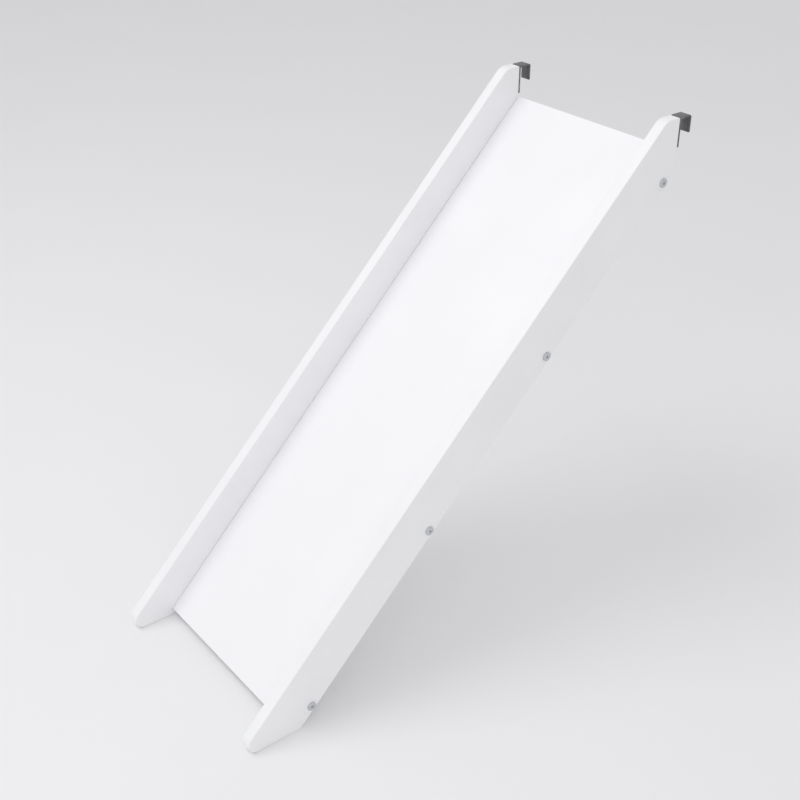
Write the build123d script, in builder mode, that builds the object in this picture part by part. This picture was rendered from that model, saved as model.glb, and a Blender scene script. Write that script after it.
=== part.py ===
"""A straight children's slide that hangs on the rail of a low loft bed.

Two grooved side boards run from the bed rail down to the floor at one steady slope. A thin
sliding panel sits in their grooves and lies on four cross bars. Each end of a cross bar is
held by one connector bolt, one barrel nut and two dowels. A steel strap hook, screwed to the
rear edge of each board, goes over the bed rail.

Frame: X is the slide's width, +Z is up and Z = 0 is the floor. The slide runs down towards
-Y, and the hooks are at its +Y end. The origin is the centre of the bounding box's bottom.
Millimetres.
"""

import os
from math import cos, radians, sin, tan

from build123d import *

os.makedirs("parts", exist_ok=True)

# ---- the slide as a whole ----
slope = 45.0                  # of the boards and the panel, in degrees to the floor
inner_width = 345.0           # clear sliding width between the boards
rail_height = 830.0           # top of the bed rail, above the floor
rail_thickness = 19.0

# ---- side boards ----
board_thickness = 20.0
board_width = 84.0            # square to the slope
shoulder_reach = 28.8         # flat top, from the rear edge to where the slope would start
shoulder_radius = 25.0        # from the flat top into the slope
rear_corner_radius = 3.0
toe_radius = 18.0             # where the slope meets the floor
edge_easing = 1.5             # along the outline, on both faces

# ---- sliding panel, in the boards' grooves ----
panel_thickness = 6.0
groove_depth = 8.0
groove_play = 0.5             # above the panel, and beyond its lower end
panel_side_play = 1.0         # from each long edge to the bottom of its groove
panel_floor_gap = 9.0         # from the floor to the panel's lower end
panel_edge_radius = 1.0

# ---- cross bars, under the panel and level with the boards' lower edges ----
bar_names = ["cross_bar_top", "cross_bar_upper", "cross_bar_lower", "cross_bar_bottom"]
bar_thickness = 20.0
bar_width = 40.0              # along the slope
bar_edge_radius = 2.0
top_bar_setback = 4.5         # from the boards' lower rear corner to the top bar
bottom_bar_setback = 28.0     # from the bottom bar to the panel's lower end

# ---- connector bolts, barrel nuts and dowels ----
fit_gap = 0.05                # around each bolt, screw, nut and dowel
end_play = 1.0                # from each fastener's end to the bottom of its hole
bolt_radius = 3.0
bolt_length = 60.0            # under the head
bolt_head_radius = 7.5
bolt_head_height = 2.5
bolt_head_easing = 0.8
hex_across_flats = 4.0
hex_depth = 1.8
nut_radius = 5.0
nut_length = 14.0
nut_setback = 33.0            # from a bar's end to the middle of its nut
slot_width = 1.2
slot_depth = 1.5
dowel_radius = 4.0
dowel_in_board = 10.0
dowel_in_bar = 20.0
dowel_margin = 4.0            # wood between a dowel and the bar's edge
dowel_easing = 0.8

# ---- hooks over the bed rail ----
rail_play = 1.0
strap_thickness = 3.0
strap_width = 20.0
strap_bend_radius = 1.0       # inside each bend
hook_groove_gap = 5.0         # from the front leg's lower end to the panel's groove
hook_rear_height = 28.0       # leg behind the rail, with the top plate

# ---- hook screws ----
screws_per_hook = 2
screw_radius = 2.0
screw_length = 32.0
screw_head_radius = 4.0
screw_point_length = 5.0
recess_width = 1.0            # of the cross recess in a screw head
recess_span = 4.4
recess_depth = 1.6

# ---- worked out from the above ----
steep, flat = sin(radians(slope)), cos(radians(slope))
grade = steep / flat
board_top = rail_height + strap_thickness         # level with the hooks' top plates
slope_top = board_top + shoulder_reach * grade    # the sloping edges meet the rear plane at
hang_height = slope_top - board_width / flat      # slope_top above and hang_height below
toe_reach = slope_top / grade                     # from the rear plane, along the floor
heel_reach = hang_height / grade
toe_loss = toe_radius * (1 / tan(radians(slope / 2)) - 1)
hook_depth = rail_thickness + rail_play + 2 * strap_thickness
rear_y = (toe_reach - toe_loss - hook_depth) / 2  # the boards' rear plane

inner_face = inner_width / 2
outer_face = inner_face + board_thickness
board_middle = inner_face + board_thickness / 2

panel_top = bar_thickness + panel_thickness       # above the boards' lower edges
panel_end = (hang_height + bar_thickness * flat - panel_floor_gap) / steep
panel_width = inner_width + 2 * (groove_depth - panel_side_play)
groove_start = -board_width * grade
groove_end = panel_end + groove_play
groove_height = panel_thickness + groove_play

bar_middle = bar_thickness / 2
first_bar = top_bar_setback + bar_width / 2
last_bar = panel_end - bottom_bar_setback - bar_width / 2
bar_pitch = (last_bar - first_bar) / (len(bar_names) - 1)
bar_places = [first_bar + i * bar_pitch for i in range(len(bar_names))]
bolt_in_bar = bolt_length - board_thickness
dowel_shift = bar_width / 2 - dowel_margin - dowel_radius

bend_outside = strap_bend_radius + strap_thickness
leg_top = board_top - bend_outside
leg_end = hang_height + (bar_thickness + groove_height) / flat + hook_groove_gap
screw_pitch = (leg_top - leg_end) / screws_per_hook
screw_heights = [leg_end + (i + 0.5) * screw_pitch for i in range(screws_per_hook)]


def on_slope(along, above):
    """(y, z) of a point this far down the slope and this far above the boards' lower edges."""
    return rear_y - along * flat - above * steep, hang_height - along * steep + above * flat


def end_plane(side, x, along, above, faces=1):
    """A plane square to X at x out from the middle: it faces out, or in where faces is -1."""
    y, z = on_slope(along, above)
    return Plane(origin=(side * x, y, z), x_dir=(0, -flat, -steep), z_dir=(faces * side, 0, 0))


def slope_plane(x, along, above, faces=1):
    """A plane in the slope, with its X down the slope: it faces up, or down where faces is -1."""
    y, z = on_slope(along, above)
    return Plane(origin=(x, y, z), x_dir=(0, -flat, -steep), z_dir=(0, -faces * steep, faces * flat))


def rear_plane(side, y, height):
    """A plane square to Y behind a side board, facing the bed."""
    return Plane(origin=(side * board_middle, y, height), x_dir=(-1, 0, 0), z_dir=(0, 1, 0))


def dowel_places(place):
    """Places along the slope of the two dowels in a bar end."""
    return [place - dowel_shift, place + dowel_shift]


# ---- side boards: -1 is the left one and 1 the right one ----
def side_board(side):
    with BuildPart() as board:
        with BuildSketch(Plane.YZ.offset(side * board_middle)):
            with BuildLine():
                Polyline(
                    (rear_y, hang_height),
                    (rear_y, board_top),
                    (rear_y - shoulder_reach, board_top),
                    (rear_y - toe_reach, 0),
                    (rear_y - heel_reach, 0),
                    close=True,
                )
            make_face()
            fillet(vertices().sort_by(Axis.X)[0], toe_radius)
            fillet(vertices().sort_by(Axis.Y)[-2:].sort_by(Axis.X)[0], shoulder_radius)
            fillet(vertices().sort_by(Axis.Y)[-2:].sort_by(Axis.X)[-1], rear_corner_radius)
        extrude(amount=board_thickness / 2, both=True)
        fillet(faces().filter_by(Axis.X).edges(), edge_easing)
        with Locations(
            slope_plane(
                side * (inner_face + groove_depth / 2),
                (groove_start + groove_end) / 2,
                bar_thickness + groove_height / 2,
            )
        ):
            Box(groove_end - groove_start, groove_depth, groove_height, mode=Mode.SUBTRACT)
        for place in bar_places:
            with Locations(end_plane(side, outer_face, place, bar_middle)):
                Hole(bolt_radius + fit_gap, board_thickness)
            with Locations(*[end_plane(side, inner_face, p, bar_middle, -1) for p in dowel_places(place)]):
                Hole(dowel_radius + fit_gap, dowel_in_board + end_play)
        with Locations(*[rear_plane(side, rear_y, height) for height in screw_heights]):
            Hole(screw_radius + fit_gap, screw_length - strap_thickness + end_play)
    return board


side_board_left = side_board(-1)
side_board_left.part.label = "side_board_left"
export_step(side_board_left.part, "parts/side_board_left.step")

side_board_right = side_board(1)
side_board_right.part.label = "side_board_right"
export_step(side_board_right.part, "parts/side_board_right.step")

# ---- sliding panel: its upper end is cut plumb, level with the boards' rear edges ----
with BuildPart() as slide_panel:
    with BuildSketch(Plane.YZ):
        with BuildLine():
            Polyline(
                on_slope(-bar_thickness * grade, bar_thickness),
                on_slope(-panel_top * grade, panel_top),
                on_slope(panel_end, panel_top),
                on_slope(panel_end, bar_thickness),
                close=True,
            )
        make_face()
        fillet(vertices().sort_by(Axis.X)[0], panel_edge_radius)
    extrude(amount=panel_width / 2, both=True)
slide_panel.part.label = "slide_panel"
export_step(slide_panel.part, "parts/slide_panel.step")


# ---- cross bars ----
def cross_bar(place):
    with BuildPart() as bar:
        with BuildSketch(end_plane(1, 0, place, bar_middle)):
            RectangleRounded(bar_width, bar_thickness, bar_edge_radius)
        extrude(amount=inner_face, both=True)
        for side in (-1, 1):
            with Locations(end_plane(side, inner_face, place, bar_middle)):
                Hole(bolt_radius + fit_gap, bolt_in_bar + end_play)
            with Locations(*[end_plane(side, inner_face, p, bar_middle) for p in dowel_places(place)]):
                Hole(dowel_radius + fit_gap, dowel_in_bar + end_play)
            with Locations(slope_plane(side * (inner_face - nut_setback), place, 0, -1)):
                Hole(nut_radius + fit_gap, bar_middle + nut_length / 2)
    return bar


for bar_name, bar_place in zip(bar_names, bar_places):
    cross_bar_made = cross_bar(bar_place)
    cross_bar_made.part.label = bar_name
    export_step(cross_bar_made.part, f"parts/{bar_name}.step")

bolted_ends = [(side, place) for place in bar_places for side in (-1, 1)]

# ---- connector bolts: flat round heads with a hex socket, on the boards' outer faces ----
with BuildPart() as bolt:
    Cylinder(bolt_radius, bolt_length, align=(Align.CENTER, Align.CENTER, Align.MAX))
    Cylinder(bolt_head_radius, bolt_head_height, align=(Align.CENTER, Align.CENTER, Align.MIN))
    chamfer(faces().sort_by(Axis.Z)[-1].edges(), bolt_head_easing)
    with BuildSketch(Plane.XY.offset(bolt_head_height)):
        RegularPolygon(hex_across_flats / 2, 6, major_radius=False)
    extrude(amount=-hex_depth, mode=Mode.SUBTRACT)

with BuildPart() as connector_bolts:
    with Locations(*[end_plane(side, outer_face, place, bar_middle) for side, place in bolted_ends]):
        add(bolt.part)
connector_bolts.part.label = "connector_bolts"
export_step(connector_bolts.part, "parts/connector_bolts.step")

# ---- barrel nuts: in the bars, from below, with a slot in the lower end that shows the hole's line ----
with BuildPart() as nut:
    Cylinder(nut_radius, nut_length)
    with Locations(Plane.YZ.offset(nut_radius)):
        Hole(bolt_radius + fit_gap, 2 * nut_radius)
    with Locations((0, 0, nut_length / 2)):
        Box(2 * nut_radius, slot_width, 2 * slot_depth, mode=Mode.SUBTRACT)
nut_turn = Rotation(0, 0, 90)

with BuildPart() as barrel_nuts:
    with Locations(
        *[
            slope_plane(side * (inner_face - nut_setback), place, bar_middle, -1).location * nut_turn
            for side, place in bolted_ends
        ]
    ):
        add(nut.part)
barrel_nuts.part.label = "barrel_nuts"
export_step(barrel_nuts.part, "parts/barrel_nuts.step")

# ---- locating dowels: two in each bar end, reaching into the board ----
with BuildPart() as dowel:
    with Locations((0, 0, (dowel_in_board - dowel_in_bar) / 2)):
        Cylinder(dowel_radius, dowel_in_board + dowel_in_bar)
    chamfer(faces().filter_by(Axis.Z).edges(), dowel_easing)

with BuildPart() as locating_dowels:
    with Locations(
        *[
            end_plane(side, inner_face, dowel_place, bar_middle)
            for side, place in bolted_ends
            for dowel_place in dowel_places(place)
        ]
    ):
        add(dowel.part)
locating_dowels.part.label = "locating_dowels"
export_step(locating_dowels.part, "parts/locating_dowels.step")


# ---- rail hooks: flat strap, bent down in front of the rail and behind it ----
def rail_hook(side):
    front, rear = rear_y, rear_y + hook_depth
    with BuildPart() as hook:
        with BuildSketch(Plane.YZ.offset(side * board_middle)):
            with BuildLine():
                Polyline(
                    (front, leg_end),
                    (front, board_top),
                    (rear, board_top),
                    (rear, board_top - hook_rear_height),
                    (rear - strap_thickness, board_top - hook_rear_height),
                    (rear - strap_thickness, board_top - strap_thickness),
                    (front + strap_thickness, board_top - strap_thickness),
                    (front + strap_thickness, leg_end),
                    close=True,
                )
            make_face()
            outside = vertices().filter_by_position(Axis.Y, board_top, board_top)
            fillet(outside, bend_outside)
            inside_level = board_top - strap_thickness
            inside = vertices().filter_by_position(Axis.Y, inside_level, inside_level)
            fillet(inside.sort_by(Axis.X)[1:-1], strap_bend_radius)
        extrude(amount=strap_width / 2, both=True)
        with Locations(*[rear_plane(side, front + strap_thickness, z) for z in screw_heights]):
            CounterSinkHole(
                screw_radius + fit_gap,
                screw_head_radius + fit_gap,
                strap_thickness,
                counter_sink_angle=90,
            )
    return hook


rail_hook_left = rail_hook(-1)
rail_hook_left.part.label = "rail_hook_left"
export_step(rail_hook_left.part, "parts/rail_hook_left.step")

rail_hook_right = rail_hook(1)
rail_hook_right.part.label = "rail_hook_right"
export_step(rail_hook_right.part, "parts/rail_hook_right.step")

# ---- hook screws: countersunk heads with a cross recess, flush with the hooks' front legs ----
with BuildPart() as screw:
    with BuildSketch(Plane.XZ):
        with BuildLine():
            Polyline(
                (0, 0),
                (screw_head_radius, 0),
                (screw_radius, screw_radius - screw_head_radius),
                (screw_radius, screw_point_length - screw_length),
                (0, -screw_length),
                close=True,
            )
        make_face()
    revolve(axis=Axis.Z)
    for turn in (0, 90):
        with Locations(Location((0, 0, 0), (0, 0, turn))):
            Box(recess_span, recess_width, 2 * recess_depth, mode=Mode.SUBTRACT)

with BuildPart() as hook_screws:
    with Locations(
        *[rear_plane(side, rear_y + strap_thickness, z) for side in (-1, 1) for z in screw_heights]
    ):
        add(screw.part)
hook_screws.part.label = "hook_screws"
export_step(hook_screws.part, "parts/hook_screws.step")
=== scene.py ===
"""Looks of the hook-on straight slide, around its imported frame.

The side boards, the sliding panel and the cross bars keep their own meshes and get painted and
lacquered finishes. The strap hooks, connector bolts, barrel nuts, dowels and hook screws are
made again in finer detail, each at the place of its node. Metres.
"""

from math import cos, pi, radians, sin, tau

import bpy
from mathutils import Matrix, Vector


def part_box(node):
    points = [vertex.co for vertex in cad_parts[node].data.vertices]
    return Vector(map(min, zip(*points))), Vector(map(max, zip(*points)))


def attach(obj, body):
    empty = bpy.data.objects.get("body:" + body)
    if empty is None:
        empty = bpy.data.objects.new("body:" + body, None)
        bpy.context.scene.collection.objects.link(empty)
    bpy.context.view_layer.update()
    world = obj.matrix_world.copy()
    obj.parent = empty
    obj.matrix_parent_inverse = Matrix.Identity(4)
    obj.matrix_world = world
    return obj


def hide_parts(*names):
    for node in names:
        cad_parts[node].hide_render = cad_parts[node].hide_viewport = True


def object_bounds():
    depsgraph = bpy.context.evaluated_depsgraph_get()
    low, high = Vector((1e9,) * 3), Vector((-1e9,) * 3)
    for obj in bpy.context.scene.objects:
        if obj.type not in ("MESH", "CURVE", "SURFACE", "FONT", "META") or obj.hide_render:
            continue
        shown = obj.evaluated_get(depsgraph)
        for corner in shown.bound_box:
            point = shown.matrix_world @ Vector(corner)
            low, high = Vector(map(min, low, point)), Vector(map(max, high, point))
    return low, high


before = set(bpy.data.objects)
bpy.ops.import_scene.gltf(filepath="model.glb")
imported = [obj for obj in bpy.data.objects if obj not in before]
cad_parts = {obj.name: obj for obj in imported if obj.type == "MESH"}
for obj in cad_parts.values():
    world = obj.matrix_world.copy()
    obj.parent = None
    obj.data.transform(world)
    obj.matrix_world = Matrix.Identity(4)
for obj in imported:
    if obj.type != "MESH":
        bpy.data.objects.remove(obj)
cad_low, cad_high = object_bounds()

# ---- sizes that the boxes of the nodes don't give ----
fit_gap = 0.00005                 # around each fastener

strap_thickness = 0.003
strap_bend_radius = 0.001         # inside each bend
strap_edge_radius = 0.0005
strap_bend_steps = 12
strap_edge_steps = 4
hook_rear_height = 0.028          # of the leg behind the bed rail, with the top plate

bolt_radius = 0.003
bolt_length = 0.060               # under the head
bolt_thread_length = 0.026
bolt_thread_pitch = 0.001
bolt_thread_depth = 0.0006
bolt_head_radius = 0.0075
bolt_head_height = 0.0025
bolt_head_crown = 0.0002          # how far the middle of a head stands above its rim
bolt_head_easing = 0.0008
bolt_head_under_chamfer = 0.0002
bolt_end_chamfer = 0.0008
hex_across_flats = 0.004
hex_depth = 0.0018
hex_mouth_easing = 0.0003

nut_radius = 0.005
nut_length = 0.014
nut_easing = 0.0005
nut_hole_radius = bolt_radius + fit_gap
slot_width = 0.0012
slot_depth = 0.0015

dowel_radius = 0.004
dowel_length = 0.030
dowel_in_board = 0.010
dowel_easing = 0.0008
dowel_spacing = 0.024             # between the two dowels of a bar end
dowel_flutes = 24
dowel_flute_depth = 0.0003

screw_radius = 0.002
screw_length = 0.032
screw_head_radius = 0.004
screw_head_chamfer = 0.0001
screw_point_length = 0.005
screw_plain_length = 0.008        # under the head, before the thread
screw_thread_pitch = 0.0016
screw_thread_depth = 0.0006
screw_thread_runout = 0.001       # below the thread, down to its core
thread_points_per_turn = 6
recess_width = 0.001
recess_span = 0.0044
recess_depth = 0.0016

smooth_below = radians(32)        # edges that turn less than this are shaded smooth
weld_distance = 0.000002

# ---- camera and light ----
camera_place = Vector((1.407, -1.083, 1.429))
camera_aim = Vector((0.01, 0.0, 0.39))
camera_lens = 56
surroundings_strength = 0.71
left_box_place = Vector((-0.9, -1.6, 3.0))    # from the middle of the slide
left_box_power = 30
right_box_place = Vector((2.0, -2.2, 1.8))
right_box_power = 13
soft_box_size = 2.2
floor_reach = 30

# ---- places, from the nodes' boxes ----
bar_names = ["cross_bar_top", "cross_bar_upper", "cross_bar_lower", "cross_bar_bottom"]


def middle(node):
    """Centre of a node's box."""
    low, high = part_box(node)
    return (low + high) / 2


bar_run = middle("cross_bar_top") - middle("cross_bar_bottom")
bars_centre = (middle("cross_bar_top") + middle("cross_bar_bottom")) / 2
slope = Vector((bar_run.y, bar_run.z)).angle_signed(Vector((1, 0)))
bar_count = len(bar_names)

outer_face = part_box("side_board_right")[1].x
inner_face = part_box("side_board_right")[0].x
board_middle = (outer_face + inner_face) / 2
screws_low, screws_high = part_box("hook_screws")
screw_heights = [screws_low.z + screw_head_radius, screws_high.z - screw_head_radius]


# ======== node helpers ========
def add_node(tree, kind, given=None, **settings):
    """A new node. given holds its inputs, by name or number: a socket to link, or a value."""
    node = tree.nodes.new(kind)
    for name, value in settings.items():
        setattr(node, name, value)
    for key, value in (given or {}).items():
        if isinstance(value, bpy.types.NodeSocket):
            tree.links.new(value, node.inputs[key])
        else:
            node.inputs[key].default_value = value
    return node


def maths(tree, operation, *values):
    """The result of one Math node."""
    kind = "ShaderNodeMath"
    return add_node(tree, kind, dict(enumerate(values)), operation=operation).outputs[0]


# ======== shape trees ========
def shape_tree(name, sizes):
    """A Geometry Nodes tree with a geometry input and these sizes: the tree, its inputs, its end."""
    tree = bpy.data.node_groups.new(name, "GeometryNodeTree")
    tree.interface.new_socket("Geometry", in_out="INPUT", socket_type="NodeSocketGeometry")
    for label, kind in sizes.items():
        tree.interface.new_socket(label, in_out="INPUT", socket_type="NodeSocket" + kind)
    tree.interface.new_socket("Geometry", in_out="OUTPUT", socket_type="NodeSocketGeometry")
    start = tree.nodes.new("NodeGroupInput")
    end = tree.nodes.new("NodeGroupOutput")
    return tree, start.outputs, end.inputs[0]


def smooth_faces(tree, mesh):
    """Smooth shading, with the sharp edges kept."""
    faces = {"Geometry": mesh, "Shade Smooth": True}
    smooth = add_node(tree, "GeometryNodeSetShadeSmooth", faces, domain="FACE")
    turn = add_node(tree, "GeometryNodeInputMeshEdgeAngle").outputs["Unsigned Angle"]
    sharp = maths(tree, "GREATER_THAN", turn, smooth_below)
    edges = {"Geometry": smooth.outputs[0], "Selection": sharp, "Shade Smooth": False}
    return add_node(tree, "GeometryNodeSetShadeSmooth", edges, domain="EDGE").outputs[0]


def cut_away(tree, mesh, cutter):
    """mesh without what the cutter takes."""
    given = {"Mesh 1": mesh, "Mesh 2": cutter}
    node = add_node(tree, "GeometryNodeMeshBoolean", given, operation="DIFFERENCE", solver="EXACT")
    return node.outputs["Mesh"]


def moved(tree, mesh, offset=(0, 0, 0), turn=(0, 0, 0)):
    """mesh, turned and then moved."""
    given = {"Geometry": mesh, "Translation": offset, "Rotation": turn}
    return add_node(tree, "GeometryNodeTransform", given).outputs[0]


def remember_place(tree, mesh):
    """Stores where each point lies on its own piece, for the finishes that follow a piece."""
    position = add_node(tree, "GeometryNodeInputPosition").outputs[0]
    given = {"Geometry": mesh, "Name": "own_place", "Value": position}
    kind = "GeometryNodeStoreNamedAttribute"
    return add_node(tree, kind, given, data_type="FLOAT_VECTOR", domain="POINT").outputs[0]


def finish_tree(tree, instances, end, material):
    """Real geometry with its finish, as each piece's tree ends."""
    real = add_node(tree, "GeometryNodeRealizeInstances", {"Geometry": instances}).outputs[0]
    given = {"Geometry": real, "Material": material}
    tree.links.new(add_node(tree, "GeometryNodeSetMaterial", given).outputs[0], end)


def turned_profile_tree():
    """Turns a profile about Z, with ridges where the profile's own mark says so.

    The profile runs from the top of the axis, down the outside, to the bottom of the axis. One
    ridge start that climbs makes a thread, and many that don't climb make flutes.
    """
    sizes = {"Steps round": "Int", "Ridge starts": "Float"}
    sizes.update({"Ridges per metre": "Float", "Ridge depth": "Float"})
    tree, given, end = shape_tree("turned_profile", sizes)
    profile = given["Geometry"]
    rows = add_node(tree, "GeometryNodeAttributeDomainSize", {"Geometry": profile}).outputs["Point Count"]
    columns = maths(tree, "ADD", given["Steps round"], 1)
    grid = {"Vertices X": rows, "Vertices Y": columns}
    grid = add_node(tree, "GeometryNodeMeshGrid", grid).outputs["Mesh"]
    index = add_node(tree, "GeometryNodeInputIndex").outputs[0]
    row = maths(tree, "FLOOR", maths(tree, "DIVIDE", index, columns))
    turn = maths(tree, "DIVIDE", maths(tree, "MODULO", index, columns), given["Steps round"])
    position = add_node(tree, "GeometryNodeInputPosition").outputs[0]
    point = {"Geometry": profile, "Value": position, "Index": row}
    point = add_node(tree, "GeometryNodeSampleIndex", point, data_type="FLOAT_VECTOR").outputs[0]
    mark = add_node(tree, "GeometryNodeInputNamedAttribute", {"Name": "ridged"}, data_type="FLOAT")
    mark = mark.outputs[0]
    ridged = {"Geometry": profile, "Value": mark, "Index": row}
    ridged = add_node(tree, "GeometryNodeSampleIndex", ridged, data_type="FLOAT").outputs[0]
    parts = add_node(tree, "ShaderNodeSeparateXYZ", {0: point}).outputs
    climb = maths(tree, "MULTIPLY", parts["Z"], given["Ridges per metre"])
    phase = maths(tree, "MULTIPLY_ADD", turn, given["Ridge starts"], climb)
    wave = maths(tree, "MULTIPLY", maths(tree, "PINGPONG", phase, 0.5), 2)
    depth = maths(tree, "MULTIPLY", maths(tree, "MULTIPLY", given["Ridge depth"], ridged), wave)
    radius = maths(tree, "SUBTRACT", parts["X"], depth)
    angle = maths(tree, "MULTIPLY", turn, tau)
    across = maths(tree, "MULTIPLY", radius, maths(tree, "COSINE", angle))
    along = maths(tree, "MULTIPLY", radius, maths(tree, "SINE", angle))
    place = add_node(tree, "ShaderNodeCombineXYZ", {"X": across, "Y": along, "Z": parts["Z"]}).outputs[0]
    skin = add_node(tree, "GeometryNodeSetPosition", {"Geometry": grid, "Position": place}).outputs[0]
    welded = {"Geometry": skin, "Distance": weld_distance}
    tree.links.new(add_node(tree, "GeometryNodeMergeByDistance", welded).outputs[0], end)
    return tree


turned_profile = turned_profile_tree()


def turned(tree, profile, steps, starts=0.0, per_metre=0.0, depth=0.0):
    """A profile turned about Z inside another tree."""
    node = tree.nodes.new("GeometryNodeGroup")
    node.node_tree = turned_profile
    tree.links.new(profile, node.inputs["Geometry"])
    node.inputs["Steps round"].default_value = steps
    node.inputs["Ridge starts"].default_value = starts
    node.inputs["Ridges per metre"].default_value = per_metre
    node.inputs["Ridge depth"].default_value = depth
    return node.outputs[0]


def bar_end_sizes():
    """The named sizes of every tree that puts pieces at the bars' ends."""
    return {"Across": "Float", "Run": "Float", "Bars": "Int", "Slope": "Float", "Centre": "Vector"}


def at_bar_ends(tree, piece, given):
    """piece at both ends of each bar. It is made for the right end, with X out and Z off the slope."""
    width = maths(tree, "MULTIPLY", given["Across"], 2)
    grid = {"Size X": width, "Size Y": given["Run"], "Vertices X": 2, "Vertices Y": given["Bars"]}
    points = add_node(tree, "GeometryNodeMeshGrid", grid).outputs["Mesh"]
    position = add_node(tree, "GeometryNodeInputPosition").outputs[0]
    side = add_node(tree, "ShaderNodeSeparateXYZ", {0: position}).outputs["X"]
    half_turn = maths(tree, "MULTIPLY", maths(tree, "LESS_THAN", side, 0), pi)
    turn = add_node(tree, "ShaderNodeCombineXYZ", {"Z": half_turn}).outputs[0]
    placed = {"Points": points, "Instance": piece, "Rotation": turn}
    placed = add_node(tree, "GeometryNodeInstanceOnPoints", placed).outputs[0]
    tilt = add_node(tree, "ShaderNodeCombineXYZ", {"X": given["Slope"]}).outputs[0]
    return moved(tree, placed, given["Centre"], tilt)


def profile_mesh(name, points):
    """A profile as a line of points: (radius, height), or (radius, height, ridged)."""
    mesh = bpy.data.meshes.new(name)
    edges = [(i, i + 1) for i in range(len(points) - 1)]
    mesh.from_pydata([(point[0], 0, point[1]) for point in points], edges, [])
    mark = mesh.attributes.new("ridged", "FLOAT", "POINT")
    mark.data.foreach_set("value", [point[2] if len(point) > 2 else 0.0 for point in points])
    return mesh


def keep_one_finish(mesh):
    """Leaves only the finish that the tree set last: a cut also leaves an empty one."""
    finish = mesh.materials[-1]
    mesh.materials.clear()
    mesh.materials.append(finish)
    mesh.polygons.foreach_set("material_index", [0] * len(mesh.polygons))


def made_by(tree, name, mesh, **sizes):
    """A new piece: the plain mesh that the tree makes from mesh, with its sizes set by name."""
    piece = bpy.data.objects.new(name, mesh)
    bpy.context.scene.collection.objects.link(piece)
    shaper = piece.modifiers.new(tree.name, "NODES")
    shaper.node_group = tree
    for socket in tree.interface.items_tree:
        label = socket.name.replace(" ", "_").lower()
        if socket.in_out == "INPUT" and label in sizes:
            shaper[socket.identifier] = sizes[label]
    depsgraph = bpy.context.evaluated_depsgraph_get()
    shaped = piece.evaluated_get(depsgraph)
    plain = bpy.data.meshes.new_from_object(
        shaped, preserve_all_data_layers=True, depsgraph=depsgraph
    )
    piece.modifiers.remove(shaper)
    piece.data = plain
    plain.name = name
    keep_one_finish(plain)
    return piece


def keep_place_of(piece, node):
    """A finished piece goes with the slide and stands for its node."""
    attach(piece, "root")
    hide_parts(node)


def ends_of_bars(across):
    """The sizes that put a piece at the bars' ends."""
    bars = {"run": bar_run.length, "bars": bar_count, "slope": slope, "centre": bars_centre}
    return {"across": across, **bars}


# ======== finishes ========
def new_finish(name):
    """A new material with a bare Principled shader: the material, its tree and its shader."""
    material = bpy.data.materials.new(name)
    material.use_nodes = True
    tree = material.node_tree
    tree.nodes.clear()
    shader = tree.nodes.new("ShaderNodeBsdfPrincipled")
    output = tree.nodes.new("ShaderNodeOutputMaterial")
    tree.links.new(shader.outputs[0], output.inputs["Surface"])
    return material, tree, shader


def object_place(tree):
    """Object coordinates, with Y turned to run up the slope."""
    place = add_node(tree, "ShaderNodeTexCoord").outputs["Object"]
    given = {"Vector": place, "Rotation": (-slope, 0, 0)}
    return add_node(tree, "ShaderNodeMapping", given, vector_type="POINT").outputs[0]


def stretched(tree, place, scale):
    """Coordinates scaled by a different amount along each axis."""
    given = {"Vector": place, "Scale": scale}
    return add_node(tree, "ShaderNodeMapping", given, vector_type="POINT").outputs[0]


def noise(tree, place, scale, detail=2.0, roughness=0.5, distortion=0.0):
    """Noise over the surface, from 0 to 1."""
    given = {"Vector": place, "Scale": scale, "Detail": detail}
    given.update({"Roughness": roughness, "Distortion": distortion})
    return add_node(tree, "ShaderNodeTexNoise", given).outputs["Fac"]


def ranged(tree, value, low, high, from_low=0.0, from_high=1.0):
    """value stretched from one range to another, and held within it."""
    given = {"Value": value, "From Min": from_low, "From Max": from_high}
    given.update({"To Min": low, "To Max": high})
    return add_node(tree, "ShaderNodeMapRange", given, clamp=True).outputs[0]


def mixed_colour(tree, share, first, second):
    """A colour between first and second."""
    node = add_node(tree, "ShaderNodeMix", data_type="RGBA")
    tree.links.new(share, node.inputs["Factor"])
    for number, colour in ((6, first), (7, second)):
        if isinstance(colour, bpy.types.NodeSocket):
            tree.links.new(colour, node.inputs[number])
        else:
            node.inputs[number].default_value = (*colour, 1)
    return node.outputs[2]


def bumps(tree, shader, *layers):
    """Bump layers on the shader, each a height, how strongly it shows and its real height."""
    normal = None
    for height, strength, distance in layers:
        given = {"Height": height, "Strength": strength, "Distance": distance}
        node = add_node(tree, "ShaderNodeBump", given)
        if normal is not None:
            tree.links.new(normal, node.inputs["Normal"])
        normal = node.outputs["Normal"]
    tree.links.new(normal, shader.inputs["Normal"])


def white_satin_paint():
    """Sprayed satin paint on wood: a fine stipple over a faint grain, and a soft uneven sheen."""
    material, tree, shader = new_finish("white_satin_paint")
    place = object_place(tree)
    clouds = noise(tree, place, 14, detail=3)
    stipple = noise(tree, place, 900, detail=2)
    grain = noise(tree, stretched(tree, place, (260, 9, 260)), 1, detail=4, distortion=0.4)
    tree.links.new(
        mixed_colour(tree, ranged(tree, clouds, 0, 1, 0.3, 0.7), (0.915, 0.915, 0.93), (0.94, 0.94, 0.952)),
        shader.inputs["Base Color"],
    )
    tree.links.new(ranged(tree, stipple, 0.30, 0.44, 0.3, 0.7), shader.inputs["Roughness"])
    shader.inputs["Specular IOR Level"].default_value = 0.45
    shader.inputs["Coat Weight"].default_value = 0.12
    shader.inputs["Coat Roughness"].default_value = 0.3
    bumps(tree, shader, (grain, 0.5, 0.00016), (stipple, 0.3, 0.00007))
    return material


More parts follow.
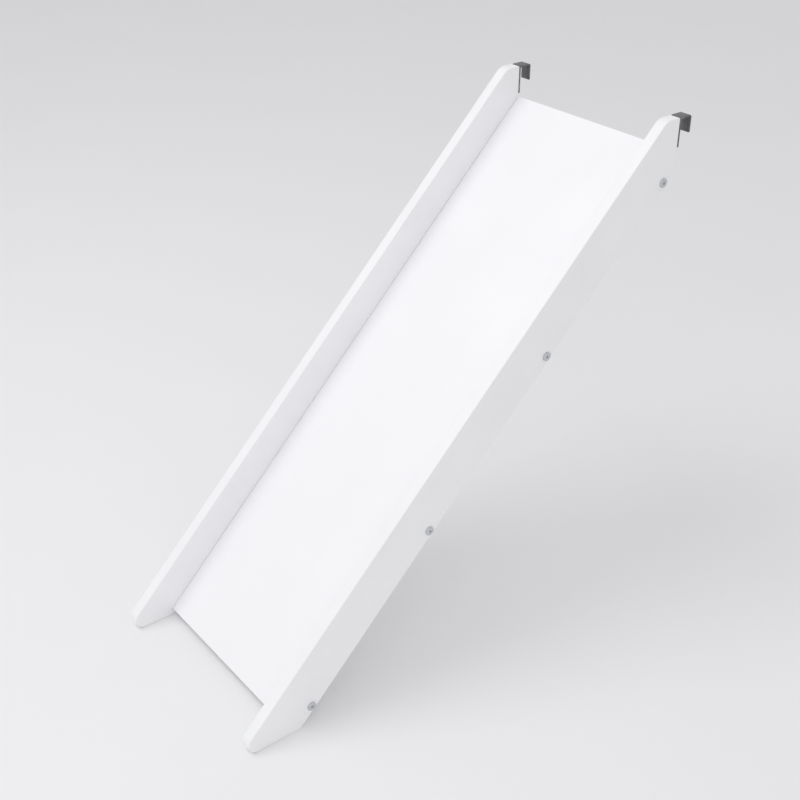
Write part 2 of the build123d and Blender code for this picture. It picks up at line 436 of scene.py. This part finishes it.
def lacquered_board():
    """Harder, smoother lacquer on the panel, with faint scuffs that run down the slope."""
    material, tree, shader = new_finish("white_lacquered_board")
    place = object_place(tree)
    clouds = noise(tree, place, 9, detail=2)
    scuffs = noise(tree, stretched(tree, place, (420, 5, 420)), 1, detail=5, roughness=0.65)
    peel = noise(tree, place, 420, detail=1)
    cloud_share = ranged(tree, clouds, 0, 1, 0.3, 0.7)
    tree.links.new(
        mixed_colour(tree, cloud_share, (0.935, 0.935, 0.952), (0.95, 0.95, 0.966)),
        shader.inputs["Base Color"],
    )
    tree.links.new(ranged(tree, scuffs, 0.30, 0.40, 0.4, 0.8), shader.inputs["Roughness"])
    shader.inputs["Specular IOR Level"].default_value = 0.5
    shader.inputs["Coat Weight"].default_value = 0.2
    shader.inputs["Coat Roughness"].default_value = 0.25
    bumps(tree, shader, (scuffs, 0.1, 0.00002), (peel, 0.25, 0.00004))
    return material


def dark_powder_coat():
    """Dark grey powder coat on bent strap: a tight orange peel and paler rubbed streaks."""
    material, tree, shader = new_finish("dark_powder_coat")
    place = add_node(tree, "ShaderNodeTexCoord").outputs["Object"]
    peel = noise(tree, place, 1800, detail=2)
    rubbed = noise(tree, stretched(tree, place, (900, 60, 60)), 1, detail=4, roughness=0.6)
    rubbed_share = ranged(tree, rubbed, 0, 1, 0.5, 0.72)
    tree.links.new(
        mixed_colour(tree, rubbed_share, (0.135, 0.136, 0.143), (0.25, 0.252, 0.262)),
        shader.inputs["Base Color"],
    )
    tree.links.new(ranged(tree, peel, 0.34, 0.5, 0.3, 0.7), shader.inputs["Roughness"])
    shader.inputs["Metallic"].default_value = 0.35
    shader.inputs["Specular IOR Level"].default_value = 0.5
    bumps(tree, shader, (peel, 0.4, 0.00006))
    return material


def own_place(tree):
    """Where each point lies on its own fastener."""
    return add_node(tree, "ShaderNodeAttribute", attribute_name="own_place").outputs["Vector"]


def bright_zinc():
    """Bright zinc plate on turned steel: fine rings about each axis, and a cloudy blue-grey."""
    material, tree, shader = new_finish("bright_zinc")
    place = own_place(tree)
    parts = add_node(tree, "ShaderNodeSeparateXYZ", {0: place}).outputs
    square = maths(tree, "MULTIPLY", parts["Y"], parts["Y"])
    squares = maths(tree, "MULTIPLY_ADD", parts["X"], parts["X"], square)
    radius = maths(tree, "SQRT", squares)
    rings = {"W": radius, "Scale": 9000.0, "Detail": 2.0}
    rings = add_node(tree, "ShaderNodeTexNoise", rings, noise_dimensions="1D")
    clouds = noise(tree, place, 500, detail=3)
    tree.links.new(
        mixed_colour(tree, ranged(tree, clouds, 0, 1, 0.35, 0.7), (0.56, 0.58, 0.61), (0.68, 0.69, 0.70)),
        shader.inputs["Base Color"],
    )
    shader.inputs["Metallic"].default_value = 1.0
    tree.links.new(ranged(tree, clouds, 0.24, 0.4, 0.3, 0.7), shader.inputs["Roughness"])
    bumps(tree, shader, (rings.outputs["Fac"], 0.25, 0.00002))
    return material


def bare_beech():
    """Bare beech: fine fibres and short darker flecks along each dowel, and a tone of its own."""
    material, tree, shader = new_finish("bare_beech")
    place = own_place(tree)
    tone = add_node(tree, "ShaderNodeAttribute", attribute_name="tone").outputs["Fac"]
    fibres = noise(tree, stretched(tree, place, (2600, 2600, 60)), 1, detail=4, roughness=0.6)
    flecks = noise(tree, stretched(tree, place, (1500, 1500, 420)), 1, detail=1)
    warm = mixed_colour(tree, fibres, (0.60, 0.42, 0.27), (0.78, 0.60, 0.42))
    fleck_share = ranged(tree, flecks, 0, 0.6, 0.62, 0.72)
    flecked = mixed_colour(tree, fleck_share, warm, (0.45, 0.28, 0.16))
    aged = mixed_colour(tree, ranged(tree, tone, 0, 0.35), flecked, (0.66, 0.46, 0.30))
    tree.links.new(aged, shader.inputs["Base Color"])
    tree.links.new(ranged(tree, fibres, 0.55, 0.75), shader.inputs["Roughness"])
    bumps(tree, shader, (fibres, 0.4, 0.00005))
    return material


def studio_floor():
    """Pale matt floor with a hardly visible mottling."""
    material, tree, shader = new_finish("pale_floor")
    place = add_node(tree, "ShaderNodeTexCoord").outputs["Object"]
    mottling = noise(tree, place, 3, detail=3)
    tree.links.new(
        mixed_colour(tree, mottling, (0.88, 0.88, 0.885), (0.9, 0.9, 0.905)),
        shader.inputs["Base Color"],
    )
    shader.inputs["Roughness"].default_value = 0.8
    shader.inputs["Specular IOR Level"].default_value = 0.2
    return material


# ======== strap hooks ========
def strap_hook_tree(material):
    """A flat strap along a bent path in the plane across X, countersunk for its screws."""
    sizes = {"Width": "Float", "Thickness": "Float", "Edge radius": "Float", "Bend radius": "Float"}
    sizes.update({"Hole radius": "Float", "Countersink radius": "Float"})
    sizes.update({"First screw": "Vector", "Last screw": "Vector", "Screws": "Int", "Place": "Vector"})
    tree, given, end = shape_tree("strap_hook", sizes)
    path = add_node(tree, "GeometryNodeMeshToCurve", {"Mesh": given["Geometry"]}).outputs[0]
    bends = {"Curve": path, "Radius": given["Bend radius"]}
    bends = add_node(tree, "GeometryNodeFilletCurve", bends, mode="POLY")
    bends.inputs["Count"].default_value = strap_bend_steps
    section = {"Width": given["Width"], "Height": given["Thickness"]}
    section = add_node(tree, "GeometryNodeCurvePrimitiveQuadrilateral", section).outputs[0]
    section = {"Curve": section, "Radius": given["Edge radius"]}
    section = add_node(tree, "GeometryNodeFilletCurve", section, mode="POLY")
    section.inputs["Count"].default_value = strap_edge_steps
    strap = {"Curve": bends.outputs[0], "Profile Curve": section.outputs[0], "Fill Caps": True}
    strap = add_node(tree, "GeometryNodeCurveToMesh", strap).outputs[0]

    drill = {"Vertices": 40, "Radius": given["Hole radius"], "Depth": 4 * strap_thickness}
    drill = add_node(tree, "GeometryNodeMeshCylinder", drill).outputs["Mesh"]
    wide = maths(tree, "MULTIPLY", given["Countersink radius"], 2)
    sink = {"Vertices": 40, "Radius Top": wide, "Radius Bottom": 0.0, "Depth": wide}
    sink = add_node(tree, "GeometryNodeMeshCone", sink).outputs["Mesh"]
    sunk = maths(tree, "MULTIPLY", given["Countersink radius"], -1)
    sink = moved(tree, sink, add_node(tree, "ShaderNodeCombineXYZ", {"Z": sunk}).outputs[0])
    screws = {"Count": given["Screws"], "Start Location": given["First screw"]}
    screws["Offset"] = given["Last screw"]
    screws = add_node(tree, "GeometryNodeMeshLine", screws, mode="END_POINTS").outputs[0]
    for cutter in (drill, sink):
        facing = moved(tree, cutter, turn=(-pi / 2, 0, 0))
        at_screws = add_node(tree, "GeometryNodeInstanceOnPoints", {"Points": screws, "Instance": facing})
        real = add_node(tree, "GeometryNodeRealizeInstances", {"Geometry": at_screws.outputs[0]})
        strap = cut_away(tree, strap, real.outputs[0])
    finish_tree(tree, moved(tree, smooth_faces(tree, strap), given["Place"]), end, material)
    return tree


def strap_hook(tree, side):
    """One hook over the bed rail, on the middle of its board."""
    node = f"rail_hook_{side}"
    low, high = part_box(node)
    half = strap_thickness / 2
    path = [
        (0, low.y + half, low.z),
        (0, low.y + half, high.z - half),
        (0, high.y - half, high.z - half),
        (0, high.y - half, high.z - hook_rear_height),
    ]
    line = bpy.data.meshes.new("hook_path")
    line.from_pydata(path, [(i, i + 1) for i in range(len(path) - 1)], [])
    hook = made_by(
        tree,
        f"strap_hook_{side}",
        line,
        width=high.x - low.x,
        thickness=strap_thickness,
        edge_radius=strap_edge_radius,
        bend_radius=strap_bend_radius + half,
        hole_radius=screw_radius + fit_gap,
        countersink_radius=screw_head_radius + fit_gap,
        first_screw=(0, low.y + strap_thickness, screw_heights[0]),
        last_screw=(0, low.y + strap_thickness, screw_heights[-1]),
        screws=len(screw_heights),
        place=((low.x + high.x) / 2, 0, 0),
    )
    keep_place_of(hook, node)


# ======== fasteners ========
def thread_points(radius, top, bottom, pitch):
    """A threaded stretch of a profile. The thread fades in and out over one turn."""
    steps = round((top - bottom) / pitch * thread_points_per_turn)
    points = []
    for i in range(steps + 1):
        height = top + (bottom - top) * i / steps
        fade = min(1, (top - height) / pitch, (height - bottom) / pitch)
        points.append((radius, height, fade))
    return points


def connector_bolts(material):
    """Bolts with a low crowned head, a hex socket and a rolled thread."""
    sizes = {"Across flats": "Float", "Socket depth": "Float"}
    sizes.update({"Mouth easing": "Float", "Head height": "Float"})
    tree, given, end = shape_tree("connector_bolts", {**sizes, **bar_end_sizes()})
    body = turned(
        tree,
        given["Geometry"],
        steps=36,
        starts=1,
        per_metre=1 / bolt_thread_pitch,
        depth=bolt_thread_depth,
    )
    corner = maths(tree, "DIVIDE", given["Across flats"], 2 * cos(pi / 6))
    depth = maths(tree, "MULTIPLY", given["Socket depth"], 2)
    socket = {"Vertices": 6, "Radius": corner, "Depth": depth}
    socket = add_node(tree, "GeometryNodeMeshCylinder", socket).outputs["Mesh"]
    top = add_node(tree, "ShaderNodeCombineXYZ", {"Z": given["Head height"]}).outputs[0]
    easing = given["Mouth easing"]
    mouth_sizes = {
        "Vertices": 48,
        "Radius Top": maths(tree, "ADD", corner, easing),
        "Radius Bottom": maths(tree, "SUBTRACT", corner, easing),
        "Depth": maths(tree, "MULTIPLY", easing, 2),
    }
    mouth = add_node(tree, "GeometryNodeMeshCone", mouth_sizes).outputs["Mesh"]
    mouth_height = maths(tree, "SUBTRACT", given["Head height"], easing)
    mouth_place = add_node(tree, "ShaderNodeCombineXYZ", {"Z": mouth_height}).outputs[0]
    bolt = cut_away(tree, body, moved(tree, socket, top))
    bolt = cut_away(tree, bolt, moved(tree, mouth, mouth_place))
    bolt = remember_place(tree, smooth_faces(tree, bolt))
    outward = moved(tree, bolt, turn=(0, pi / 2, 0))
    finish_tree(tree, at_bar_ends(tree, outward, given), end, material)

    rim = bolt_head_radius - bolt_head_easing
    rim_height = bolt_head_height - bolt_head_crown
    steps = 6
    crown = [
        (rim * i / steps, bolt_head_height - bolt_head_crown * (i / steps) ** 2)
        for i in range(steps + 1)
    ]
    turns = [i * pi / 10 for i in range(1, 6)]     # up to a quarter circle
    eased = [
        (rim + bolt_head_easing * sin(turn), rim_height - bolt_head_easing * (1 - cos(turn)))
        for turn in turns
    ]
    thread_end = -bolt_length + bolt_end_chamfer
    profile = [
        *crown,
        *eased,
        (bolt_head_radius, bolt_head_under_chamfer),
        (bolt_head_radius - bolt_head_under_chamfer, 0),
        (bolt_radius, 0),
        *thread_points(bolt_radius, thread_end + bolt_thread_length, thread_end, bolt_thread_pitch),
        (bolt_radius - bolt_end_chamfer, -bolt_length),
        (0, -bolt_length),
    ]
    bolts = made_by(
        tree,
        "bright_connector_bolts",
        profile_mesh("bolt_profile", profile),
        across_flats=hex_across_flats,
        socket_depth=hex_depth,
        mouth_easing=hex_mouth_easing,
        head_height=bolt_head_height,
        **ends_of_bars(outer_face),
    )
    keep_place_of(bolts, "connector_bolts")


def barrel_nuts(material):
    """Barrel nuts, each with a cross hole for its bolt and a slot in its lower end."""
    sizes = {"Length": "Float", "Hole radius": "Float", "Slot width": "Float", "Slot depth": "Float"}
    tree, given, end = shape_tree("barrel_nuts", {**sizes, **bar_end_sizes()})
    body = turned(tree, given["Geometry"], steps=48)
    hole = {"Vertices": 40, "Radius": given["Hole radius"], "Depth": 4 * nut_radius}
    hole = add_node(tree, "GeometryNodeMeshCylinder", hole).outputs["Mesh"]
    slot_height = maths(tree, "MULTIPLY", given["Slot depth"], 2)
    slot_size = {"X": 4 * nut_radius, "Y": given["Slot width"], "Z": slot_height}
    slot_size = add_node(tree, "ShaderNodeCombineXYZ", slot_size).outputs[0]
    slot = add_node(tree, "GeometryNodeMeshCube", {"Size": slot_size}).outputs["Mesh"]
    lower_end = maths(tree, "MULTIPLY", given["Length"], -0.5)
    lower_end = add_node(tree, "ShaderNodeCombineXYZ", {"Z": lower_end}).outputs[0]
    nut = cut_away(tree, body, moved(tree, hole, turn=(0, pi / 2, 0)))
    nut = cut_away(tree, nut, moved(tree, slot, lower_end))
    nut = remember_place(tree, smooth_faces(tree, nut))
    finish_tree(tree, at_bar_ends(tree, nut, given), end, material)

    half = nut_length / 2
    profile = [
        (0, half),
        (nut_radius - nut_easing, half),
        (nut_radius, half - nut_easing),
        (nut_radius, nut_easing - half),
        (nut_radius - nut_easing, -half),
        (0, -half),
    ]
    nuts = made_by(
        tree,
        "slotted_barrel_nuts",
        profile_mesh("nut_profile", profile),
        length=nut_length,
        hole_radius=nut_hole_radius,
        slot_width=slot_width,
        slot_depth=slot_depth,
        **ends_of_bars(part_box("barrel_nuts")[1].x - nut_radius),
    )
    keep_place_of(nuts, "barrel_nuts")


def locating_dowels(material):
    """Fluted dowels, two in each bar end, each with a tone of its own."""
    sizes = {"Spacing": "Float", "Middle": "Float", "Seed": "Int"}
    tree, given, end = shape_tree("locating_dowels", {**sizes, **bar_end_sizes()})
    body = turned(tree, given["Geometry"], steps=96, starts=dowel_flutes, depth=dowel_flute_depth)
    dowel = moved(tree, remember_place(tree, smooth_faces(tree, body)), turn=(0, pi / 2, 0))
    half = maths(tree, "MULTIPLY", given["Spacing"], 0.5)
    minus_half = maths(tree, "MULTIPLY", half, -1)
    lower = add_node(tree, "ShaderNodeCombineXYZ", {"X": given["Middle"], "Y": minus_half})
    upper = add_node(tree, "ShaderNodeCombineXYZ", {"X": given["Middle"], "Y": half})
    pair = {"Count": 2, "Start Location": lower.outputs[0], "Offset": upper.outputs[0]}
    pair = add_node(tree, "GeometryNodeMeshLine", pair, mode="END_POINTS").outputs[0]
    pair = add_node(tree, "GeometryNodeInstanceOnPoints", {"Points": pair, "Instance": dowel}).outputs[0]
    placed = {"Geometry": at_bar_ends(tree, pair, given)}
    placed = add_node(tree, "GeometryNodeRealizeInstances", placed).outputs[0]
    island = add_node(tree, "GeometryNodeInputMeshIsland").outputs["Island Index"]
    tone = {"ID": island, "Seed": given["Seed"]}
    tone = add_node(tree, "FunctionNodeRandomValue", tone, data_type="FLOAT")
    toned = {"Geometry": placed, "Name": "tone", "Value": tone.outputs["Value"]}
    kind = "GeometryNodeStoreNamedAttribute"
    toned = add_node(tree, kind, toned, data_type="FLOAT", domain="POINT").outputs[0]
    finish_tree(tree, toned, end, material)

    half_length = dowel_length / 2
    profile = [
        (0, half_length),
        (dowel_radius - dowel_easing, half_length),
        (dowel_radius, half_length - dowel_easing, 0),
        (dowel_radius, half_length - 2 * dowel_easing, 1),
        (dowel_radius, 2 * dowel_easing - half_length, 1),
        (dowel_radius, dowel_easing - half_length, 0),
        (dowel_radius - dowel_easing, -half_length),
        (0, -half_length),
    ]
    dowels = made_by(
        tree,
        "fluted_locating_dowels",
        profile_mesh("dowel_profile", profile),
        spacing=dowel_spacing,
        middle=dowel_in_board - half_length,
        seed=7,
        **ends_of_bars(inner_face),
    )
    keep_place_of(dowels, "locating_dowels")


def hook_screws(material):
    """Countersunk wood screws with a cross recess, two in each hook, facing the bed."""
    sizes = {"Recess width": "Float", "Recess span": "Float", "Recess depth": "Float"}
    sizes.update({"Across": "Float", "Pitch": "Float", "Columns": "Int", "Rows": "Int"})
    sizes["Centre"] = "Vector"
    tree, given, end = shape_tree("hook_screws", sizes)
    screw = turned(
        tree,
        given["Geometry"],
        steps=40,
        starts=1,
        per_metre=1 / screw_thread_pitch,
        depth=screw_thread_depth,
    )
    deep = maths(tree, "MULTIPLY", given["Recess depth"], 2)
    span, width = given["Recess span"], given["Recess width"]
    for across, along in ((span, width), (width, span)):
        wing = add_node(tree, "ShaderNodeCombineXYZ", {"X": across, "Y": along, "Z": deep}).outputs[0]
        wing = add_node(tree, "GeometryNodeMeshCube", {"Size": wing}).outputs["Mesh"]
        screw = cut_away(tree, screw, wing)
    screw = remember_place(tree, smooth_faces(tree, screw))
    facing = moved(tree, screw, turn=(-pi / 2, 0, 0))
    grid = {"Size X": maths(tree, "MULTIPLY", given["Across"], 2), "Size Y": given["Pitch"]}
    grid.update({"Vertices X": given["Columns"], "Vertices Y": given["Rows"]})
    grid = add_node(tree, "GeometryNodeMeshGrid", grid).outputs["Mesh"]
    upright = moved(tree, grid, given["Centre"], (pi / 2, 0, 0))
    placed = add_node(tree, "GeometryNodeInstanceOnPoints", {"Points": upright, "Instance": facing})
    finish_tree(tree, placed.outputs[0], end, material)

    tip = -screw_length
    thread_top = screw_radius - screw_head_radius - screw_plain_length
    point_top = tip + screw_point_length
    profile = [
        (0, 0),
        (screw_head_radius - screw_head_chamfer, 0),
        (screw_head_radius, -screw_head_chamfer),
        (screw_radius, screw_radius - screw_head_radius),
        *thread_points(screw_radius, thread_top, point_top, screw_thread_pitch),
        (screw_radius - screw_thread_depth, point_top - screw_thread_runout),
        (0, tip),
    ]
    low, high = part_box("hook_screws")
    screws = made_by(
        tree,
        "cross_recess_hook_screws",
        profile_mesh("screw_profile", profile),
        recess_width=recess_width,
        recess_span=recess_span,
        recess_depth=recess_depth,
        across=board_middle,
        pitch=screw_heights[-1] - screw_heights[0],
        columns=2,
        rows=len(screw_heights),
        centre=(0, high.y, (low.z + high.z) / 2),
    )
    keep_place_of(screws, "hook_screws")


# ======== studio ========
def studio_camera():
    """A camera above the slide's lower right, which looks at its middle."""
    camera = bpy.data.objects.new("camera", bpy.data.cameras.new("camera"))
    bpy.context.scene.collection.objects.link(camera)
    camera.location = camera_place
    camera.rotation_euler = (camera_aim - camera_place).to_track_quat("-Z", "Y").to_euler()
    camera.data.lens = camera_lens
    camera.data.clip_end = 2 * floor_reach
    bpy.context.scene.camera = camera


def soft_box(name, place, aim, power):
    """A square area light."""
    lamp = bpy.data.objects.new(name, bpy.data.lights.new(name, "AREA"))
    bpy.context.scene.collection.objects.link(lamp)
    lamp.location = place
    lamp.rotation_euler = (aim - place).to_track_quat("-Z", "Y").to_euler()
    lamp.data.size = soft_box_size
    lamp.data.energy = power


def studio_light():
    """White surroundings, with a large soft box on each side of the front."""
    world = bpy.data.worlds.new("white_surroundings")
    world.use_nodes = True
    bpy.context.scene.world = world
    background = world.node_tree.nodes["Background"]
    background.inputs["Color"].default_value = (0.985, 0.985, 1, 1)
    background.inputs["Strength"].default_value = surroundings_strength
    slide_middle = (cad_low + cad_high) / 2
    soft_box("left_box", slide_middle + left_box_place, slide_middle, left_box_power)
    soft_box("right_box", slide_middle + right_box_place, slide_middle, right_box_power)


def pale_floor_plane():
    """A floor that reaches far past the slide on every side."""
    mesh = bpy.data.meshes.new("floor")
    corners = [(-1, -1), (1, -1), (1, 1), (-1, 1)]
    corners = [(x * floor_reach, y * floor_reach, 0) for x, y in corners]
    mesh.from_pydata(corners, [], [(0, 1, 2, 3)])
    mesh.materials.append(studio_floor())
    floor = bpy.data.objects.new("floor", mesh)
    bpy.context.scene.collection.objects.link(floor)


# ======== the scene ========
def paint_nodes():
    """The boards, bars and panel keep their meshes and get their finishes."""
    paint = white_satin_paint()
    lacquer = lacquered_board()
    for name in ["side_board_left", "side_board_right", *bar_names]:
        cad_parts[name].material_slots[0].material = paint
    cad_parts["slide_panel"].material_slots[0].material = lacquer


paint_nodes()
hook_tree = strap_hook_tree(dark_powder_coat())
for hook_side in ("left", "right"):
    strap_hook(hook_tree, hook_side)
zinc = bright_zinc()
connector_bolts(zinc)
barrel_nuts(zinc)
locating_dowels(bare_beech())
hook_screws(zinc)
pale_floor_plane()
studio_light()
studio_camera()

scene = bpy.context.scene
scene.view_settings.view_transform = "Standard"
scene.cycles.use_denoising = True
